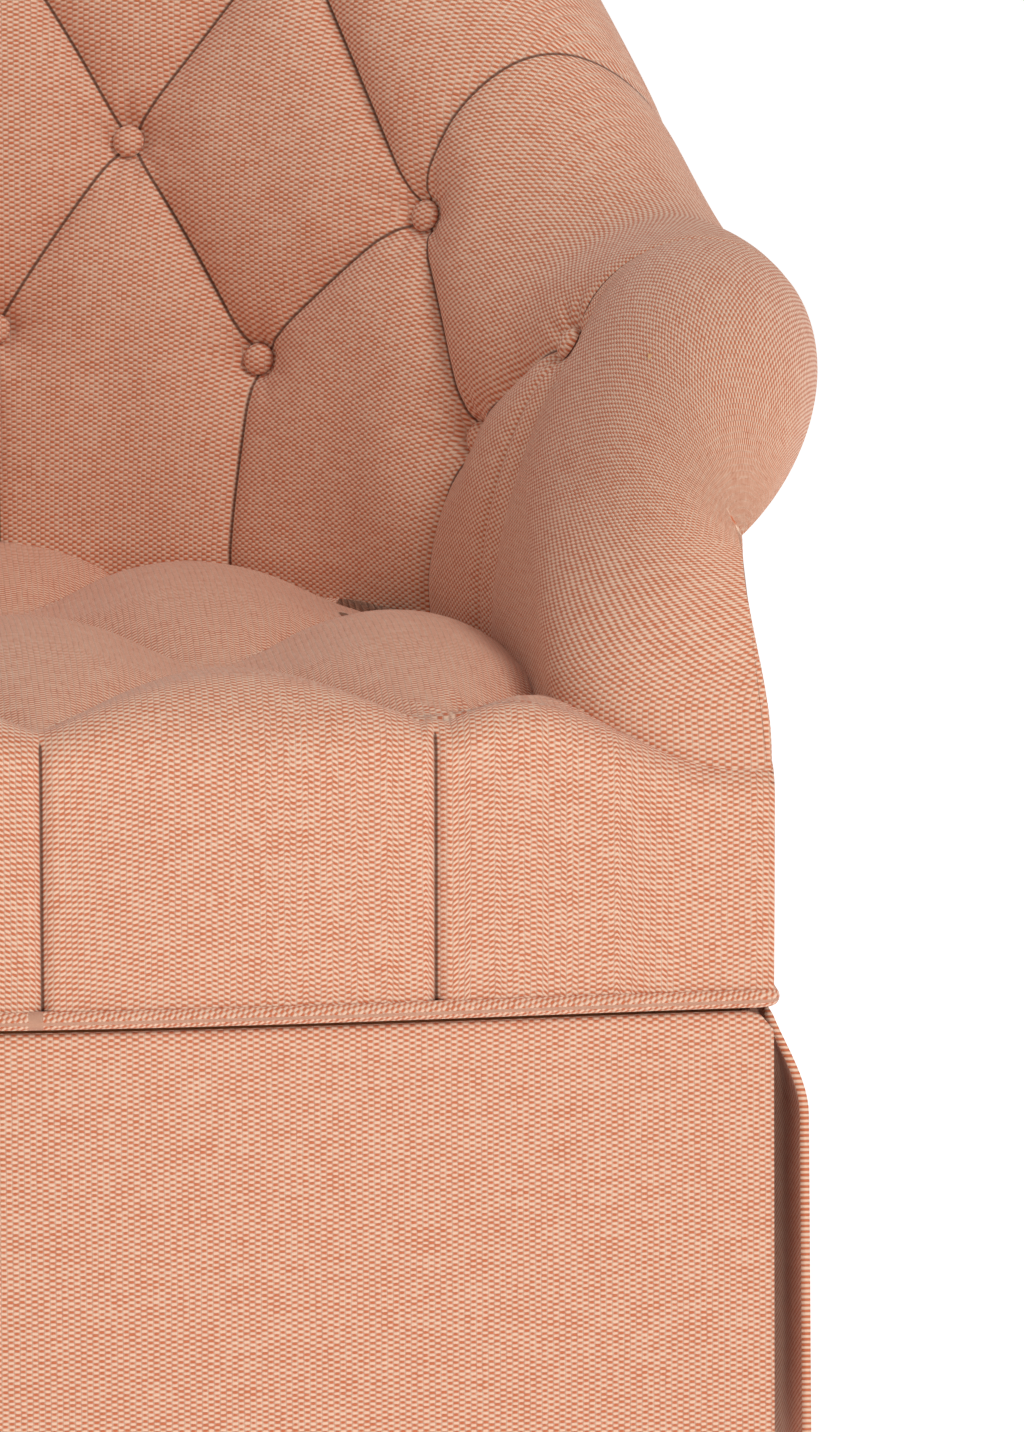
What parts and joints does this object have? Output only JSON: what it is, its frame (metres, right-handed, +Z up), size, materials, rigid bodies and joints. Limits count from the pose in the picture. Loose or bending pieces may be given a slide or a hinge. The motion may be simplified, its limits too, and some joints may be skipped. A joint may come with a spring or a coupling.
{
  "type": "glider nursery chair",
  "caption": "Button-tufted barrel armchair with rolled arms and a full skirt, gliding on hidden swing links over a swivel floor ring.",
  "frame": {"origin": "on the floor, under the middle of the chair's overall width and depth", "axes": "+Z up; the sitter faces -Y; +X is to the right seen from the front, the sitter's left"},
  "size_m": [0.896, 0.811, 1],
  "materials": {
    "cover_fabric": "matte",
    "frame_wood": "matte",
    "painted_steel": "satin",
    "zinc_steel": "satin",
    "spring_wire": "satin",
    "glide_plastic": "matte",
    "dust_cloth": "matte"
  },
  "bodies": {
    "base": {"base_ring": "painted_steel", "base_cross": "painted_steel", "swivel_lower_plate": "zinc_steel", "swivel_bearing": "zinc_steel", "floor_glide_1": "glide_plastic", "floor_glide_2": "glide_plastic", "floor_glide_3": "glide_plastic", "floor_glide_4": "glide_plastic"},
    "carriage": {"swivel_upper_plate": "painted_steel", "carriage_side_left": "painted_steel", "carriage_side_right": "painted_steel", "upper_pin_front_left": "zinc_steel", "upper_pin_front_right": "zinc_steel", "upper_pin_rear_left": "zinc_steel", "upper_pin_rear_right": "zinc_steel"},
    "front_links": {"swing_link_front_left": "zinc_steel", "swing_link_front_right": "zinc_steel"},
    "rear_links": {"swing_link_rear_left": "zinc_steel", "swing_link_rear_right": "zinc_steel"},
    "seat": {"seat_pad": "cover_fabric", "front_border": "cover_fabric", "back_pad": "cover_fabric", "outside_back": "cover_fabric", "welt_cord": "cover_fabric", "skirt_front": "cover_fabric", "skirt_back": "cover_fabric", "arm_pad_left": "cover_fabric", "arm_pad_right": "cover_fabric", "outside_arm_left": "cover_fabric", "outside_arm_right": "cover_fabric", "skirt_left": "cover_fabric", "skirt_right": "cover_fabric", "seat_rail_front": "frame_wood", "seat_rail_rear": "frame_wood", "back_top_rail": "frame_wood", "back_lower_rail": "frame_wood", "mount_cleat_front": "frame_wood", "mount_cleat_rear": "frame_wood", "seat_rail_left": "frame_wood", "seat_rail_right": "frame_wood", "corner_block_left": "frame_wood", "corner_block_right": "frame_wood", "back_post_left": "frame_wood", "back_post_right": "frame_wood", "arm_post_left": "frame_wood", "arm_post_right": "frame_wood", "arm_top_rail_left": "frame_wood", "arm_top_rail_right": "frame_wood", "seat_spring_1": "spring_wire", "seat_spring_2": "spring_wire", "seat_spring_3": "spring_wire", "seat_spring_4": "spring_wire", "dust_cover": "dust_cloth", "glide_hanger_left": "painted_steel", "glide_hanger_right": "painted_steel", "lower_pin_front_left": "zinc_steel", "lower_pin_front_right": "zinc_steel", "lower_pin_rear_left": "zinc_steel", "lower_pin_rear_right": "zinc_steel"}
  },
  "joints": [
    {"name": "swivel", "type": "hinge", "parent": "base", "child": "carriage", "pos_m": [0, -0.0355, 0.05], "axis": [0, 0, 1], "continuous": true},
    {"name": "glide", "type": "hinge", "parent": "carriage", "child": "front_links", "pos_m": [0, -0.1855, 0.232], "axis": [1, 0, 0], "range_deg": [-30, 30]},
    {"name": "seat_level", "type": "hinge", "parent": "front_links", "child": "seat", "pos_m": [0, -0.1855, 0.097], "axis": [1, 0, 0], "range_deg": [-31, 31]},
    {"name": "rear_links_swing", "type": "hinge", "parent": "carriage", "child": "rear_links", "pos_m": [0, 0.1145, 0.232], "axis": [1, 0, 0], "range_deg": [-31, 31]}
  ],
  "couplings": [
    {"joint": "seat_level", "follows": "glide", "ratio": -1},
    {"joint": "rear_links_swing", "follows": "glide", "ratio": 1}
  ]
}
